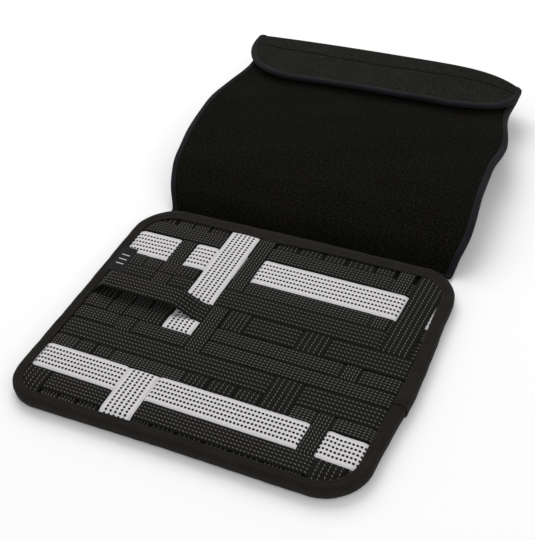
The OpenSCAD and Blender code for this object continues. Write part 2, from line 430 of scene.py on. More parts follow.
def grainy_material(name, dark, light, roughness, scale):
    """Foam cells or grey board, seen only where a piece is cut open."""
    material = new_material(name, dark, roughness)
    n = Nodes(material)
    grain = n.noise(n.cloth(), scale, 4.0)
    n.colour(n.mix(n.ramp(grain, 0.35, 0.65), dark, light))
    n.bump(grain, 0.6, 0.0006)
    return material


def label_material():
    """A black satin label with plain pale stripes woven across it."""
    material = new_material("label", (0.008, 0.008, 0.008), 0.5)
    n = Nodes(material)
    cloth = n.cloth()
    along, across, half = n.parts(cloth)[0:3]
    stripe_pitch = 5.2
    stripe = n.math("DIVIDE", along, stripe_pitch)
    near = n.math("ABSOLUTE", n.math("SUBTRACT", stripe, n.math("ROUND", stripe)))
    on_stripe = n.math("LESS_THAN", near, 0.09)
    middle = n.math("LESS_THAN", n.math("ABSOLUTE", across), n.math("MULTIPLY", half, 0.55))
    length = n.math("LESS_THAN", n.math("ABSOLUTE", along), 8.5)
    pale = n.math("MULTIPLY", on_stripe, n.math("MULTIPLY", middle, length))
    satin = n.wave(n.math("ADD", along, across), 0.6)
    n.colour(n.mix(pale, n.mix(n.ramp(satin, -1, 1), (0.009, 0.009, 0.009), (0.017, 0.017, 0.018)),
                   (0.50, 0.50, 0.50)))
    n.bump(n.total((satin, 1.0), (pale, 2.0)), 0.35, 0.0003)
    return material


BLACK_STRAP = strap_material(
    "strap_black", (0.0049, 0.0045, 0.0034), (0.128, 0.123, 0.115), (0.0082, 0.0077, 0.0062),
    (0.0030, 0.0028, 0.0022), 0.18, 0.76, 0.42, 0.42,
)
WHITE_STRAP = strap_material(
    "strap_white", (0.67, 0.65, 0.66), (0.009, 0.008, 0.007), (0.58, 0.565, 0.575),
    (0.36, 0.35, 0.36), 0.155, 1.06, 1.00, 0.04,
)
TAPE = tape_material("binding", (0.0088, 0.0077, 0.0065), (0.0185, 0.0163, 0.0140), 0.03)
NAVY_TAPE = tape_material("flap_binding", (0.0065, 0.0063, 0.0082), (0.0140, 0.0138, 0.0180), 0.04)
NEOPRENE = neoprene_material()
PLUSH = plush_material()
CLOTH = cloth_material()
FOAM = grainy_material("foam", (0.05, 0.05, 0.05), (0.09, 0.09, 0.09), 0.95, 1.2)
GREYBOARD = grainy_material("board", (0.10, 0.09, 0.08), (0.15, 0.14, 0.12), 0.9, 0.8)
LABEL = label_material()
THREAD = tape_material("thread", (0.0012, 0.0011, 0.0010), (0.0024, 0.0022, 0.0020), 0.0)

# ---------------- mesh helpers


def build(name, points, faces, cloth, material, slot, sharp=38.0):
    """A smooth-shaded mesh piece. cloth holds each point's own flat coordinates."""
    mesh = bpy.data.meshes.new(name)
    points = np.asarray(points, float).reshape(-1, 3)
    mesh.from_pydata([tuple(p) for p in points * MM], [], faces)
    attribute = mesh.attributes.new("cloth", "FLOAT_VECTOR", "POINT")
    attribute.data.foreach_set("vector", np.asarray(cloth, np.float32).reshape(-1))
    bm = bmesh.new()
    bm.from_mesh(mesh)
    bmesh.ops.recalc_face_normals(bm, faces=bm.faces)
    bm.to_mesh(mesh)
    bm.free()
    mesh.polygons.foreach_set("use_smooth", [True] * len(mesh.polygons))
    mesh.set_sharp_from_angle(angle=math.radians(sharp))
    mesh.update()
    obj = bpy.data.objects.new(name, mesh)
    bpy.context.scene.collection.objects.link(obj)
    mesh.materials.append(material)
    return obj


def tube_faces(sections, ring, closed=False, first=0):
    """Quads round and along a tube of sections; an open one gets end caps."""
    faces = []
    for i in range(sections if closed else sections - 1):
        here, there = first + i * ring, first + (i + 1) % sections * ring
        for j in range(ring):
            k = (j + 1) % ring
            faces.append((here + j, here + k, there + k, there + j))
    if not closed:
        last = first + (sections - 1) * ring
        faces.append(tuple(first + j for j in reversed(range(ring))))
        faces.append(tuple(last + j for j in range(ring)))
    return faces


def joined(parts):
    """Several (points, faces, cloth) as one."""
    points, faces, cloth, start = [], [], [], 0
    for p, f, c in parts:
        p = np.asarray(p, float).reshape(-1, 3)
        points.append(p)
        cloth.append(np.asarray(c, float).reshape(-1, 3))
        faces += [tuple(i + start for i in face) for face in f]
        start += len(p)
    return np.concatenate(points), faces, np.concatenate(cloth)


def as_cloth(along, across, third):
    """Cloth coordinates of a grid of points, from arrays that broadcast to it."""
    return np.stack(np.broadcast_arrays(along, across, third), axis=-1)


def two_faces(count, top, bottom):
    """A sheet's section: shares of its half width along one face and back, and the faces' heights."""
    across = np.sin(np.linspace(-math.pi / 2, math.pi / 2, count))
    return np.concatenate([across, across[::-1]]), np.repeat([top, bottom], count)


def stitch(middle, forward, up, length=2.3, width=0.42):
    """One sunken thread stitch: a small rounded bar."""
    forward, up = forward / np.linalg.norm(forward), up / np.linalg.norm(up)
    side = np.cross(up, forward)
    sections = [(-0.5, 0.25, -0.5), (-0.36, 0.9, 0.0), (0.36, 0.9, 0.0), (0.5, 0.25, -0.5)]
    points, cloth = [], []
    for reach, size, sink in sections:
        for k in range(6):
            a = math.pi / 3 * k
            points.append(
                middle + forward * reach * length
                + (side * math.cos(a) + up * (math.sin(a) * 0.7 + sink)) * width * size
            )
            cloth.append((reach * length, math.cos(a), 0))
    return points, tube_faces(4, 6), cloth


# ---------------- the board's outline


def board_outline():
    """The board's rounded, slightly bowed outline, anticlockwise, with outward normals."""
    corner = [np.array(c[:2]) for c in CORNERS]
    count = len(corner)
    ways = [corner[(k + 1) % count] - corner[k] for k in range(count)]
    ways = [w / np.linalg.norm(w) for w in ways]
    path = []
    for k in range(count):
        before, after, radius = ways[k - 1], ways[k], CORNERS[k][2]
        angle = math.acos(np.clip(before @ after, -1, 1))
        reach = radius * math.tan(angle / 2)
        centre = corner[k] - before * reach + np.array([-before[1], before[0]]) * radius
        start = math.atan2(-before[0], before[1])
        for t in np.linspace(0, 1, 16):
            a = start + angle * t
            path.append(centre + radius * np.array([math.cos(a), math.sin(a)]))
        next_radius = CORNERS[(k + 1) % count][2]
        next_angle = math.acos(np.clip(after @ ways[(k + 1) % count], -1, 1))
        leave = corner[k] + after * reach
        arrive = corner[(k + 1) % count] - after * next_radius * math.tan(next_angle / 2)
        out = np.array([after[1], -after[0]])
        for t in np.linspace(0, 1, 30)[1:-1]:
            path.append(leave + (arrive - leave) * t + out * CORNERS[k][3] * math.sin(math.pi * t) ** 2)
    path = np.array(path + path[:1])
    length = np.concatenate([[0], np.cumsum(np.linalg.norm(np.diff(path, axis=0), axis=1))])
    count = int(length[-1] / OUTLINE_STEP)
    at = np.linspace(0, length[-1], count, endpoint=False)
    points = np.stack([np.interp(at, length, path[:, k]) for k in (0, 1)], axis=1)
    ahead = np.roll(points, -1, 0) - np.roll(points, 1, 0)
    ahead /= np.linalg.norm(ahead, axis=1)[:, None]
    normals = np.stack([ahead[:, 1], -ahead[:, 0]], axis=1)
    return points, normals, at


OUTLINE, OUTWARD, OUTLINE_AT = board_outline()


def inset_outline(inset):
    return OUTLINE - OUTWARD * inset


def board_disc(name, rings, material, slot):
    """A flat piece of the board: rings of (inset, z), from the middle of one face to the other."""
    count = len(OUTLINE)
    points = [np.column_stack([inset_outline(inset), np.full(count, z)]) for inset, z in rings]
    faces = []
    for i in range(len(rings) - 1):
        for j in range(count):
            k = (j + 1) % count
            faces.append((i * count + j, i * count + k, (i + 1) * count + k, (i + 1) * count + j))
    faces.append(tuple(reversed(range(count))))
    faces.append(tuple((len(rings) - 1) * count + j for j in range(count)))
    return build(name, points, faces, points, material, slot)


# ---------------- the board's layers


def make_board_layers():
    """The layers inside the binding."""
    nodes = ("rear_panel", "stiffener", "foam_pad", "face_cloth")
    low, high = ({n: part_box(n)[k].z / MM for n in nodes} for k in (0, 1))
    wall = LAYER_INSET

    panel = board_disc(
        "rear_neoprene",
        [(CAP_INSET, high["rear_panel"]), (wall + 0.4, high["rear_panel"]), (wall, 2.4), (wall, 1.6),
         (wall + 0.5, 1.25), (BINDING_W - 1.2, 1.25), (BINDING_W + 0.4, 0.75),
         (BINDING_W + 2.2, 0.2), (CAP_INSET, 0.05)],
        NEOPRENE, "neoprene",
    )
    stiff = board_disc(
        "stiffener_board",
        [(CAP_INSET, high["stiffener"]), (wall + 1.4, high["stiffener"]),
         (wall + 1.4, low["stiffener"] + 0.05), (CAP_INSET, low["stiffener"] + 0.05)],
        GREYBOARD, "board",
    )
    foam = board_disc(
        "foam_layer",
        [(CAP_INSET, high["foam_pad"] - 0.05), (wall + 1.2, high["foam_pad"] - 0.1), (wall + 0.5, 7.2),
         (wall + 0.5, 5.4), (wall + 1.0, low["foam_pad"] + 0.1), (CAP_INSET, low["foam_pad"] + 0.05)],
        FOAM, "foam",
    )
    face = board_disc(
        "face_knit",
        [(CAP_INSET, high["face_cloth"]), (wall + 0.2, high["face_cloth"] - 0.1), (wall + 0.1, 8.1),
         (CAP_INSET, low["face_cloth"] + 0.05)],
        CLOTH, "cloth",
    )
    for piece, node in zip((panel, stiff, foam, face), nodes):
        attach(piece, "board")
        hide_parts(node)


# inset and height round the binding's closed C section: top, side, underside, and back inside
BINDING_SECTION = [
    (9.5, 11.05), (9.35, 11.5), (8.6, 11.8), (7.6, 11.85), (6.9, 11.7), (6.3, 11.6), (5.7, 11.75),
    (4.6, 12.0), (3.0, 11.9), (1.5, 11.3), (0.5, 10.1), (0.0, 8.2), (0.0, 5.8), (0.25, 3.6),
    (0.9, 1.7), (2.2, 0.5), (4.0, 0.05), (5.6, 0.25), (6.3, 0.5), (7.0, 0.25), (8.6, 0.08),
    (9.35, 0.3), (9.5, 0.75), (9.1, 1.05), (5.5, 1.1), (2.6, 1.2), (1.55, 2.2), (1.3, 4.0),
    (1.3, 8.4), (1.6, 10.2), (2.6, 10.9), (4.6, 11.05), (6.3, 10.9), (8.6, 11.0),
]


def tape_inset(inset):
    """The tape's own inset all round: more along the rear than along the front."""
    swell = np.exp(-(((OUTLINE[:, 0] - SWELL_X) / SWELL_REACH) ** 2))
    rear = np.maximum(OUTWARD[:, 1], 0) * (REAR_WIDER + SWELL * swell)
    wider = 1 + rear - FRONT_NARROWER * np.maximum(-OUTWARD[:, 1], 0)
    return inset * wider if inset > 3 else np.full(len(OUTLINE), inset)


def make_edge_binding():
    ring = len(BINDING_SECTION)
    girth = np.cumsum([0] + [math.dist(a, b) for a, b in zip(BINDING_SECTION, BINDING_SECTION[1:])])
    points = np.zeros((len(OUTLINE), ring, 3))
    cloth = np.zeros_like(points)
    for j, (inset, z) in enumerate(BINDING_SECTION):
        puff = 0.22 * ripple(OUTLINE_AT, z * 3.0, 9.0, 1.0)
        on_outside = 1.0 if inset < 3 else 0.35
        at = OUTLINE - OUTWARD * (tape_inset(inset)[:, None] - puff[:, None] * on_outside)
        points[:, j, :2] = at
        points[:, j, 2] = z + (0.10 * puff if z > 9 else 0)
        cloth[:, j] = as_cloth(OUTLINE_AT, girth[j], 0.0)
    tape = build("edge_tape", points, tube_faces(len(OUTLINE), ring, closed=True), cloth, TAPE, "binding", 60)
    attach(tape, "board")
    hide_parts("edge_binding")

    bars = []
    total = OUTLINE_AT[-1] + OUTLINE_STEP
    seam_line = OUTLINE - OUTWARD * tape_inset(SEAM_INSET)[:, None]
    for z, up in SEAM_SIDES:
        for at in np.arange(0, total - SEAM_PITCH, SEAM_PITCH):
            i = int(at / total * len(OUTLINE)) % len(OUTLINE)
            ahead = np.array([-OUTWARD[i][1], OUTWARD[i][0], 0.0])
            bars.append(stitch(np.array([*seam_line[i], z]), ahead, np.array([0, 0, up])))
    seam = build("edge_stitches", *joined(bars), TAPE, "binding")
    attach(seam, "board")


def make_binding_end():
    """The folded end of the tape, lapped over its start on the right side."""
    near_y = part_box("binding_end")[0].y / MM
    right = [i for i, (x, y) in enumerate(OUTLINE) if x > 0 and near_y <= y <= LAP_END_Y]
    # the section's outer and inner faces, and its middle: inset, height
    outer = [(9.7, 11.6), (9.3, 12.3), (7.8, 12.55), (6.4, 12.1), (5.2, 12.6), (3.0, 12.85), (1.0, 12.1),
             (-0.4, 10.6), (-1.0, 8.2), (-1.0, 5.6), (-0.7, 3.4), (0.3, 1.5), (1.6, 0.5)]
    inner = [(2.2, 1.0), (0.8, 2.2), (0.15, 5.6), (0.1, 8.2), (0.7, 10.4), (2.2, 11.8), (5.0, 11.9),
             (7.6, 11.8), (9.3, 11.4)]
    section = outer + inner
    middle = (5.0, 6.0)
    deepest_sink, end_lift, cloth_pitch = 0.95, 0.3, 1.4
    points, cloth = [], []
    count = len(right)
    for step, i in enumerate(right):
        # the outer face stands up a little at the fold, and sinks into the tape at the other end
        sink = deepest_sink * smooth((step / (count - 1) - 0.35) / 0.65)
        sink -= end_lift * (1 - smooth(step / 2.0))
        for j, (inset, z) in enumerate(section):
            away = np.array([middle[0] - inset, z - middle[1]])
            away *= (sink if j < len(outer) else 0.0) / np.linalg.norm(away)
            points.append([*(OUTLINE[i] - OUTWARD[i] * (inset + away[0])), z - away[1]])
            cloth.append([OUTLINE_AT[i], j * cloth_pitch, 0])
    end = build("tape_end", points, tube_faces(count, len(section)), cloth, TAPE, "binding", 60)
    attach(end, "board")
    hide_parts("binding_end")


# ---------------- straps


def grid_extent(node):
    """A strap node's box in grid axes: lowest and highest u and v."""
    u, v = to_grid(np.array([p.co[:2] for p in NODES[node].data.vertices]) / MM)
    return u.min(), u.max(), v.min(), v.max()


def strap_lines():
    """Middle and half width of each row and column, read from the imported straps."""
    rows, columns = [], []
    for k in range(1, 12):
        _, _, v0, v1 = grid_extent(f"row_strap_{k}")
        rows.append(((v0 + v1) / 2 + ROW_SHIFT, (v1 - v0) / 2 + STRAP_EXTRA))
    for k in range(1, 14):
        u0, u1, _, _ = grid_extent(f"column_strap_{k}")
        extra = STRAP_EXTRA - (CLOSE_LESS if k in CLOSE_COLUMNS else 0.0)
        columns.append(((u0 + u1) / 2, (u1 - u0) / 2 + extra))
    return rows, columns


ROWS, COLUMNS = strap_lines()


def woven_over():
    """over[i][j]: whether row i lies on top of column j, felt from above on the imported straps."""
    depsgraph = bpy.context.evaluated_depsgraph_get()
    trees = [BVHTree.FromObject(NODES[f"column_strap_{j + 1}"], depsgraph) for j in range(len(COLUMNS))]
    above = 50
    over = []
    for v, _ in ROWS:
        line = []
        for tree, (u, _) in zip(trees, COLUMNS):
            x, y = turned(u, v)
            hit = tree.ray_cast(Vector((x, y, above)) * MM, Vector((0, 0, -1)))[0]
            line.append(hit is not None and hit.z / MM < WEAVE_MIDDLE)
        over.append(line)
    return over


OVER = woven_over()


def across_outline(line, along_u, inset):
    """Where a line of constant v (or u) enters and leaves the outline, in grid axes."""
    u, v = to_grid(inset_outline(inset))
    run, side = (u, v) if along_u else (v, u)
    next_run, next_side = np.roll(run, -1), np.roll(side, -1)
    cuts = (side - line) * (next_side - line) < 0
    share = (line - side[cuts]) / (next_side[cuts] - side[cuts])
    found = run[cuts] + (next_run[cuts] - run[cuts]) * share
    return (found.min(), found.max()) if len(found) > 1 else (0.0, 0.0)


def lean(leans, number, at):
    """How far strap number wanders sideways at a place along it."""
    return np.interp(at, *zip(*leans.get(number, [(0, 0.0)])))


def gap_marks(lines, leans, at):
    """The middles of the gaps between neighbouring straps where a strap at `at` crosses them."""
    lines = sorted((line + float(lean(leans, k + 1, at)), half) for k, (line, half) in enumerate(lines))
    return [(a[0] + a[1] + b[0] - b[1]) / 2 for a, b in zip(lines, lines[1:])]


def weave_height(at, marks, levels):
    """Height of a strap's underside along it: up and down over its neighbours."""
    z = np.full_like(at, levels[0])
    for mark, before, after in zip(marks, levels, levels[1:]):
        z += (after - before) * smooth((at - mark) / (2 * STRAP_RISE) + 0.5)
    return z


# a strap's section: share of its half width, share of its thickness
STRAP_SECTION = [
    (-1.0, 0.40), (-0.985, 0.75), (-0.93, 0.92), (-0.6, 1.1), (-0.2, 1.2), (0.2, 1.2), (0.6, 1.1),
    (0.93, 0.92), (0.985, 0.75), (1.0, 0.40), (0.98, 0.05), (0.5, 0.0), (-0.5, 0.0), (-0.98, 0.05),
]


def ribbon(name, along_u, line, half, height, ends, material, slot, wander):
    """A strap along its line: height(at, start, end) is its underside, ends(side) its start and end."""
    reach = [ends(line + share * half) for share, _ in STRAP_SECTION]
    longest = max(e - s for s, e in reach)
    count = max(4, int(longest / STRAP_STEP))
    t = np.linspace(0, 1, count)
    points = np.zeros((count, len(STRAP_SECTION), 3))
    cloth = np.zeros_like(points)
    for j, ((share, thick), (start, end)) in enumerate(zip(STRAP_SECTION, reach)):
        at = start + (end - start) * t
        side = line + share * half + 0.12 * ripple(at, line, 14.0, share) + wander(at)
        z = height(at, start, end) + thick * STRAP_T
        u, v = (at, side) if along_u else (side, at)
        x, y = turned(u, v)
        points[:, j] = np.column_stack([x, y, z])
        cloth[:, j] = as_cloth(at, share * half, half)
    return build(name, points, tube_faces(count, len(STRAP_SECTION)), cloth, material, slot, 60)


def tucked(at, start, end, z):
    """Lowers a strap's ends, so that they run under the binding."""
    under, climb = 4.2, 6.0
    near = np.minimum(at - start, end - at)
    return STRAP_TUCK + (z - STRAP_TUCK) * smooth((near - under) / climb)


def on_line(at, line):
    """A place on a row's middle line, in metres."""
    x, y = turned(at, line)
    return x * MM, y * MM, 0


def strap_look(name):
    return (WHITE_STRAP, "strap_white") if name in WHITE_STRAPS else (BLACK_STRAP, "strap_black")


def make_strap(kind, number, line, half, marks, levels, leans, ends, freed=0):
    """One woven strap: marks are the gaps between the straps that it crosses, levels its heights there."""
    node = f"{kind}_strap_{number}"
    look, slot = strap_look(node)

    def height(at, start, end):
        return tucked(at, start - freed, end, weave_height(at, marks, levels))

    piece = ribbon(f"elastic_{kind}_{number}", kind == "row", line, half, height, ends, look, slot,
                   lambda at: lean(leans, number, at))
    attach(piece, "board")
    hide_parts(node)


def make_straps():
    for i, (line, half) in enumerate(ROWS):
        loop = i + 1 == LOOP_ROW

        def ends(v, loop=loop):
            start, end = across_outline(v, True, STRAP_END_INSET)
            return (LOOP_END if loop else start), end

        levels = [STRAP_HIGH if over else STRAP_LOW for over in OVER[i]]
        make_strap("row", i + 1, line, half, gap_marks(COLUMNS, COLUMN_LEANS, line), levels, ROW_LEANS, ends,
                   FREE_END if loop else 0)
    for j, (line, half) in enumerate(COLUMNS):
        levels = [STRAP_LOW if over[j] else STRAP_HIGH for over in reversed(OVER)]
        make_strap("column", j + 1, line, half, gap_marks(ROWS, ROW_LEANS, line), levels, COLUMN_LEANS,
                   lambda u: across_outline(u, False, STRAP_END_INSET))


def make_phone_strap():
    """The raised strap: its middle rides the sliding body, its two slopes climb to it and stay fixed in
    place.
    """
    line, half = ROWS[LOOP_ROW - 1]
    half -= PHONE_NARROWER
    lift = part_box("phone_strap")[0].z / MM + PHONE_CLEAR - STRAP_HIGH
    levels = [STRAP_HIGH if over else STRAP_LOW for over in OVER[LOOP_ROW - 1]]
    marks = gap_marks(COLUMNS, COLUMN_LEANS, line)
    flat = weave_height(np.array([LOOP_END]), marks, levels)[0]

    def stretch(name, height, ends):
        return ribbon(name, True, line, half, height, ends, BLACK_STRAP, "strap_black",
                      lambda at: lean(ROW_LEANS, LOOP_ROW, at))

    def middle(at, start, end):
        return np.full_like(at, STRAP_HIGH + lift)

    piece = stretch("phone_elastic", middle, lambda v: (LOOP_RISEN, LOOP_FALLS))
    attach(piece, "strap_middle")
    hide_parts("phone_strap")

    def left(at, start, end):
        z = tucked(at, start, end + FREE_END, np.full_like(at, STRAP_HIGH))
        return z + lift * smooth((at - LOOP_START) / (LOOP_RISEN - LOOP_START))

    piece = stretch("phone_elastic_left", left,
                    lambda v: (across_outline(v, True, STRAP_END_INSET)[0], LOOP_RISEN))
    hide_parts("phone_strap_left")
    on_line(LOOP_START, line)
    on_line(LOOP_RISEN, line)
    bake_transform(piece)

    def right(at, start, end):
        share = smooth((LOOP_END - at) / (LOOP_END - LOOP_FALLS))
        return flat + (STRAP_HIGH + lift - flat) * share

    piece = stretch("phone_elastic_right", right, lambda v: (LOOP_FALLS, LOOP_END))
    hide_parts("phone_strap_right")
    on_line(LOOP_END, line)
    on_line(LOOP_FALLS, line)
    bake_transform(piece)


def make_label():
    """The label runs out from under the binding and lies over the straps."""
    low, high = (np.array(c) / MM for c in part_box("label"))
    rows, columns = 24, 10
    under_binding, half_thick, skew = 4.5, 0.22, -0.012
    y = low[1] + (high[1] - low[1]) * np.linspace(0, 1, rows)[:, None]
    left, right = low[0] - under_binding, high[0]
    x = np.linspace(left, right, columns)
    x = np.concatenate([x, x[::-1]])[None, :]
    face = np.repeat([half_thick, -half_thick], columns)[None, :]
    middle = (low[1] + high[1]) / 2
    out = smooth((x - left) / 5.0)
    z = STRAP_HIGH + 1.5 * out + 0.25 * np.sin((x - left) / 3.2) * out + 0.10 * ripple(y, x, 6.0, 2.0) + face
    points = np.stack(np.broadcast_arrays(x + skew * (y - middle), y, z), axis=-1)
    cloth = as_cloth(y - middle, x - (low[0] + high[0]) / 2, (right - low[0]) / 2)
    piece = build("side_label", points, tube_faces(rows, 2 * columns), cloth, LABEL, "label", 60)
    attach(piece, "board")
    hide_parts("label")


# ---------------- flap

HINGES = ["flap_close", "flap_bend_2", "flap_bend_3", "flap_bend_4"]
FLAP_CORNERS = [np.array(JOINTS[h]["pos_m"][1:]) / MM for h in HINGES]
LIP_AXIS = np.array(JOINTS["lip_fold"]["pos_m"][1:]) / MM
FLAP_CORNERS.append(LIP_AXIS - np.array([0, CORE_R + 0.3]))
FLAP_LENS = [np.linalg.norm(b - a) for a, b in zip(FLAP_CORNERS, FLAP_CORNERS[1:])]
FLAP_SLOPES = [math.degrees(math.atan2(b[1] - a[1], b[0] - a[0]))
               for a, b in zip(FLAP_CORNERS, FLAP_CORNERS[1:])]
FLAP_ENDS = np.cumsum([0.0] + FLAP_LENS)
FLAP_LEN = FLAP_ENDS[-1]


def flap_path():
    """Distance, y, z and slope along the flap's inner face, its corners rounded."""
    s = np.arange(FLAP_ROOT, FLAP_LEN + PATH_STEP + 0.01, PATH_STEP)
    slope = np.full_like(s, ROOT_SLOPE)
    bends = [(-1.0, ROOT_EASE, ROOT_SLOPE, FLAP_SLOPES[0])]
    bends += list(zip(FLAP_ENDS[1:], HINGE_EASE, FLAP_SLOPES, FLAP_SLOPES[1:]))
    for at, ease, before, after in bends:
        slope += (after - before) * smooth((s - at) / (2 * ease) + 0.5)
    step = np.radians((slope[1:] + slope[:-1]) / 2)
    y = np.concatenate([[0], np.cumsum(np.cos(step) * PATH_STEP)])
    z = np.concatenate([[0], np.cumsum(np.sin(step) * PATH_STEP)])
    y += FLAP_CORNERS[0][0] - np.interp(0, s, y)
    z += FLAP_CORNERS[0][1] - np.interp(0, s, z)
    return s, y, z, np.radians(slope)


PATH_S, PATH_Y, PATH_Z, PATH_SLOPE = flap_path()


def eased(s, points):
    """A rounded line past a few (distance, value) points."""
    at, value = zip(*points)
    reach = 9
    window = np.linspace(-reach, reach, 7)
    return sum(np.interp(s + w, at, value) for w in window) / len(window)


def flap_half(s):
    return eased(s, FLAP_WIDTHS)


def flap_middle(s):
    return eased(s, FLAP_MIDDLES)


def fold_fall(side):
    """How far the fold lies nearer and lower than its middle, at a distance from the middle line."""
    right = np.asarray(side) > 0
    share = (np.abs(side) / FOLD_HALF) ** np.where(right, *FOLD_POWER)
    return share * np.where(right, *FOLD_BOW), share * np.where(right, *FOLD_DROOP)


def flap_point(s, side, depth):
    """side is the distance from the flap's middle line, depth below its inner face."""
    s, side, depth = np.broadcast_arrays(s, side, depth)
    y, z = np.interp(s, PATH_S, PATH_Y), np.interp(s, PATH_S, PATH_Z)
    slope = np.interp(s, PATH_S, PATH_SLOPE)
    root_share = 0.35
    thin = root_share + (1 - root_share) * smooth((s + 2.0) / 7.0)
    y = y + np.sin(slope) * depth * thin
    z = z - np.cos(slope) * depth * thin
    nearer, lower = fold_fall(side)
    late = smooth((s - FOLD_FROM) / FOLD_OVER)
    y = y - nearer * late
    z = z - (lower + FOLD_SETTLE) * late
    # the cloth is a little wavy between its first bends and the fold
    wave = 0.9 * smooth((s - 30.0) / 40.0) * (1 - smooth((s - 225.0) / 30.0))
    z = z + wave * ripple(s, side, 34.0, 0.7)
    return np.stack([side + flap_middle(s), y, z], axis=-1)


def flap_stations(start, end):
    return np.linspace(start, end, max(3, int((end - start) / FLAP_STEP) + 1))


def flap_sheet(name, start, end, top, bottom, inset, material, slot):
    """One layer of one stretch of the flap, between two depths."""
    s = flap_stations(start, end)
    share, depth = two_faces(45, top, bottom)
    half = flap_half(s) - inset
    side = half[:, None] * share
    points = flap_point(s[:, None], side, depth)
    cloth = as_cloth(s[:, None], side, depth)
    piece = build(name, points, tube_faces(len(s), len(share)), cloth, material, slot, 50)
    return piece


# inset from the flap's edge and depth, round the closed C section of its binding
FLAP_TAPE = [
    (5.2, 0.0), (5.0, -0.5), (4.3, -0.85), (3.0, -1.0), (1.6, -0.85), (0.5, -0.2), (0.0, 0.9),
    (0.0, 3.2), (0.5, 4.5), (1.6, 5.1), (3.0, 5.25), (4.3, 5.1), (5.0, 4.75), (5.2, 4.3),
    (3.6, 4.25), (1.3, 4.1), (1.15, 0.1), (3.6, -0.02),
]


def tape_cloth(along, inset, depth):
    """Cloth coordinates of a tape: its stations, and roughly the way round its section."""
    spread, half_width = 1.3, 3.0
    return as_cloth(along[:, None], inset * spread + depth, half_width)


def flap_edges(name, start, end):
    s = flap_stations(start, end)
    half = flap_half(s)
    parts = []
    for sign in (-1, 1):
        inset, depth = (np.array(c) for c in zip(*FLAP_TAPE))
        points = flap_point(s[:, None], sign * (half[:, None] - inset), depth)
        parts.append((points, tube_faces(len(s), len(FLAP_TAPE)), tape_cloth(s, inset, depth)))
    return build(name, *joined(parts), NAVY_TAPE, "binding", 60)


def path_point(s):
    return (0.0, float(np.interp(s, PATH_S, PATH_Y)) * MM, float(np.interp(s, PATH_S, PATH_Z)) * MM)


def make_flap():
    """Five stretches: the first four each span one hinge and are fixed in place, the last rides the long
    section.
    """
    last_bend = 44.0
    cuts = [FLAP_ROOT] + [FLAP_ENDS[k] + FLAP_LENS[k] / 2 for k in range(3)]
    cuts += [FLAP_ENDS[3] + last_bend, FLAP_LEN]
    # points this far inside each end of a stretch, the layers this far apart, and this far in from the edge
    inside, clear, inset = 1.0, 0.02, 1.4
    for k, (start, end) in enumerate(zip(cuts, cuts[1:])):
        lining = flap_sheet(f"lining_{k + 1}", start, end, 0.0, LINING_T - clear, inset, PLUSH, "plush")
        shell = flap_sheet(f"shell_{k + 1}", start, end, LINING_T + clear, FLAP_T, inset, NEOPRENE,
                           "neoprene")
        edges = flap_edges(f"flap_tape_{k + 1}", start, end)
        section = min(k + 1, 4)
        for piece, node in ((lining, "flap_lining_"), (shell, "flap_shell_"), (edges, "flap_binding_")):
            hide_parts(f"{node}{section}")
            if k < 4:
                path_point(start + inside)
                path_point(end - inside)
                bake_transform(piece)
            else:
                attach(piece, "flap_4")


# ---------------- fold and lip

WRAP_CENTRE = FLAP_CORNERS[4] + np.array([0, -FLAP_T + WRAP_R + LIP_T / 2])


def lip_point(q, side, height):
    """q runs from the flap's outer face round the fold (negative) and down the lip (positive)."""
    q, side, height = np.broadcast_arrays(q, side, height)
    angle = math.pi / 2 + np.minimum(q, 0) / WRAP_R
    radius = WRAP_R + height
    y = WRAP_CENTRE[0] + radius * np.cos(angle)
    z = WRAP_CENTRE[1] + radius * np.sin(angle)
    flat = np.maximum(q, 0) * (1 - LIP_SKEW * side / LIP_HALF)
    tilt = math.radians(LIP_SLOPE)
    y = y - flat * math.cos(tilt)
    z = z + flat * math.sin(tilt)
    nearer, lower = fold_fall(side)
    y = y - nearer
    z = z - FOLD_SETTLE - lower * (1 - 0.25 * smooth(flat / LIP_D))
    z = z + 0.5 * smooth(flat / 20.0) * ripple(side, q, 30.0, 1.9)
    return np.stack([side + flap_middle(FLAP_LEN) + 0.02 * flat, y, z], axis=-1)


def lip_half(q):
    """The lip's half width: drawn in round the fold, then straight, then a long rounded corner."""
    t = np.clip((np.asarray(q) - (LIP_D - LIP_CORNER_Q)) / LIP_CORNER_Q, 0, 1)
    drawn_in = np.clip(-np.asarray(q) / WRAP_LEN, 0, 1) ** 1.3
    return LIP_HALF - LIP_CORNER_X * (1 - np.sqrt(1 - t * t)) - WRAP_DRAWN_IN * drawn_in


def lip_seam(side):
    """The stitched line's distance from the fold: nearer to it at both ends."""
    share = np.abs(np.asarray(side) / LIP_HALF) ** 2.4
    return LIP_SEAM * (1 - share * np.where(np.asarray(side) > 0, *LIP_SEAM_BOW))


def lip_run(corner_count):
    """Distances round the fold and down to the lip's corner, and on round its corner."""
    corner_from = LIP_D - LIP_CORNER_Q
    wrap = np.linspace(-WRAP_LEN, 0, 14)[:-1]
    straight = np.linspace(0, corner_from, 4)[:-1]
    corner = corner_from + LIP_CORNER_Q * np.sin(np.linspace(0, math.pi / 2, corner_count))
    return np.concatenate([wrap, straight]), corner


def lip_stations(last):
    """Where the lip's sheet has its points: closer together along the stitched line."""
    begin, corner = lip_run(22)
    seam = np.arange(LIP_SEAM * (1 - LIP_SEAM_BOW[0]) - 2.0, LIP_SEAM + 2.4, 0.8)
    return np.unique(np.concatenate([begin, seam, corner[corner < last], [last]]).round(4))


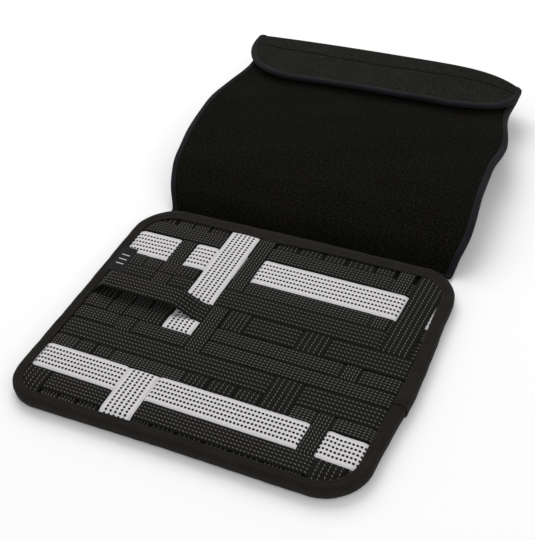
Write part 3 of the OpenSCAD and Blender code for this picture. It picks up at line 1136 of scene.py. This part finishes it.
def make_lip():
    """The lip and its binding, which both turn over the fold from the flap's body to the lip's."""
    q = lip_stations(LIP_D - LIP_INSET)
    share, face = two_faces(61, LIP_T / 2, -LIP_T / 2)
    side = (lip_half(q * LIP_D / (LIP_D - LIP_INSET)) - LIP_INSET)[:, None] * share
    groove_deep, groove_wide = 0.55, 1.1
    groove = groove_deep * np.exp(-(((q[:, None] - lip_seam(side)) / groove_wide) ** 2))
    height = face - groove * (face > 0)
    points = lip_point(q[:, None], side, height)
    cloth = as_cloth(q[:, None], side, height)
    lip = build("lip_neoprene", points, tube_faces(len(q), len(share)), cloth, NEOPRENE, "neoprene", 50)
    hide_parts("lip_panel")

    tape = make_lip_tape()
    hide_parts("lip_binding")

    for piece in (lip, tape):
        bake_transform(piece)


def make_lip_stitches():
    bars = []
    short, sunk, long, wide = 5.0, 0.42, 1.7, 0.75
    reach = lip_half(LIP_SEAM) - short
    for x in np.arange(-reach, reach, LIP_SEAM_PITCH):
        here = lip_point(lip_seam(x), x, LIP_T / 2 - sunk)
        ahead = lip_point(lip_seam(x + 0.5), x + 0.5, 0.0) - lip_point(lip_seam(x - 0.5), x - 0.5, 0.0)
        bars.append(stitch(here, ahead, np.array([0, 0, 1.0]), long, wide))
    seam = build("lip_stitches", *joined(bars), THREAD, "binding")
    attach(seam, "lip")
    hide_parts("lip_seam")


def make_fold_roll():
    """The roll inside the fold, short of its ends."""
    stations, ring, short, radius = 60, 12, 12, CORE_R - 0.1
    x = np.linspace(-LIP_HALF + short, LIP_HALF - short, stations)[:, None]
    a = 2 * math.pi / ring * np.arange(ring)
    middle = lip_point(-WRAP_LEN / 2, x, -WRAP_R)
    points = middle + np.stack([0 * a, radius * np.cos(a) - 0.5, radius * np.sin(a)], axis=-1)
    roll = build("fold_roll", points, tube_faces(stations, ring), as_cloth(x, a * CORE_R, 0.0), NEOPRENE,
                 "neoprene", 50)
    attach(roll, "flap_4")
    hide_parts("fold_core")


def make_lip_tape():
    """The binding round the lip: from the fold's left end, round the free edge, to its right end."""
    left_q = np.concatenate(lip_run(30))
    left = np.column_stack([-lip_half(left_q), left_q])
    half = lip_half(LIP_D)
    middle = np.column_stack([np.linspace(-half, half, 70)[1:-1], np.full(68, LIP_D)])
    path = np.concatenate([left, middle, left[::-1] * np.array([-1, 1])])
    ahead = np.gradient(path, axis=0)
    ahead /= np.linalg.norm(ahead, axis=1)[:, None]
    inward = np.column_stack([ahead[:, 1], -ahead[:, 0]])
    length = np.concatenate([[0], np.cumsum(np.linalg.norm(np.diff(path, axis=0), axis=1))])
    inset, depth = (np.array(c) for c in zip(*FLAP_TAPE))
    height = LIP_T / 2 + 0.05 - depth * (LIP_T + 0.1) / FLAP_T
    at = path[:, None, :] + inward[:, None, :] * inset[None, :, None]
    points = lip_point(at[..., 1], at[..., 0], height)
    return build("lip_tape", points, tube_faces(len(path), len(FLAP_TAPE)), tape_cloth(length, inset, depth),
                 NAVY_TAPE, "binding", 60)


# ---------------- stage


def make_stage():
    mesh = bpy.data.meshes.new("floor")
    corners = [(x * FLOOR_HALF, y * FLOOR_HALF, FLOOR_Z) for x, y in ((-1, -1), (1, -1), (1, 1), (-1, 1))]
    mesh.from_pydata(corners, [], [(0, 1, 2, 3)])
    floor = bpy.data.objects.new("floor", mesh)
    bpy.context.scene.collection.objects.link(floor)
    paper = new_material("floor_paper", (0.93, 0.93, 0.93), 0.9)
    mesh.materials.append(paper)

    world = bpy.data.worlds.new("studio")
    bpy.context.scene.world = world
    world.use_nodes = True
    sky = world.node_tree.nodes["Background"].inputs
    sky["Color"].default_value = (1, 1, 1, 1)
    sky["Strength"].default_value = WORLD_LIGHT
    for name, place, size, power in LIGHTS:
        light = bpy.data.lights.new(name, "AREA")
        light.energy = power
        light.size = size
        obj = bpy.data.objects.new(name, light)
        obj.location = place
        aim = Vector(LIGHTS_AIM) - Vector(place)
        obj.rotation_mode = "QUATERNION"
        obj.rotation_quaternion = aim.to_track_quat("-Z", "Y")
        bpy.context.scene.collection.objects.link(obj)
    bpy.context.scene.view_settings.view_transform = "Standard"


def make_camera():
    yaw, pitch, roll = (math.radians(a) for a in CAMERA_TURN)
    forward = Vector((-math.sin(yaw) * math.cos(pitch), math.cos(yaw) * math.cos(pitch), -math.sin(pitch)))
    level = Vector((math.cos(yaw), math.sin(yaw), 0))
    upright = level.cross(forward)
    right = level * math.cos(roll) + upright * math.sin(roll)
    up = upright * math.cos(roll) - level * math.sin(roll)
    data = bpy.data.cameras.new("camera")
    data.lens = CAMERA_LENS
    data.sensor_width = 36.0
    camera = bpy.data.objects.new("camera", data)
    bpy.context.scene.collection.objects.link(camera)
    turn = Matrix((right, up, -forward)).transposed().to_4x4()
    camera.matrix_world = Matrix.Translation(Vector(CAMERA_PLACE) * MM) @ turn
    data.clip_start, data.clip_end = 0.01, 50
    bpy.context.scene.camera = camera


# ---------------- all of it

make_camera()
make_stage()
make_board_layers()
make_edge_binding()
make_binding_end()
make_straps()
make_phone_strap()
make_label()
make_flap()
make_lip()
make_lip_stitches()
make_fold_roll()
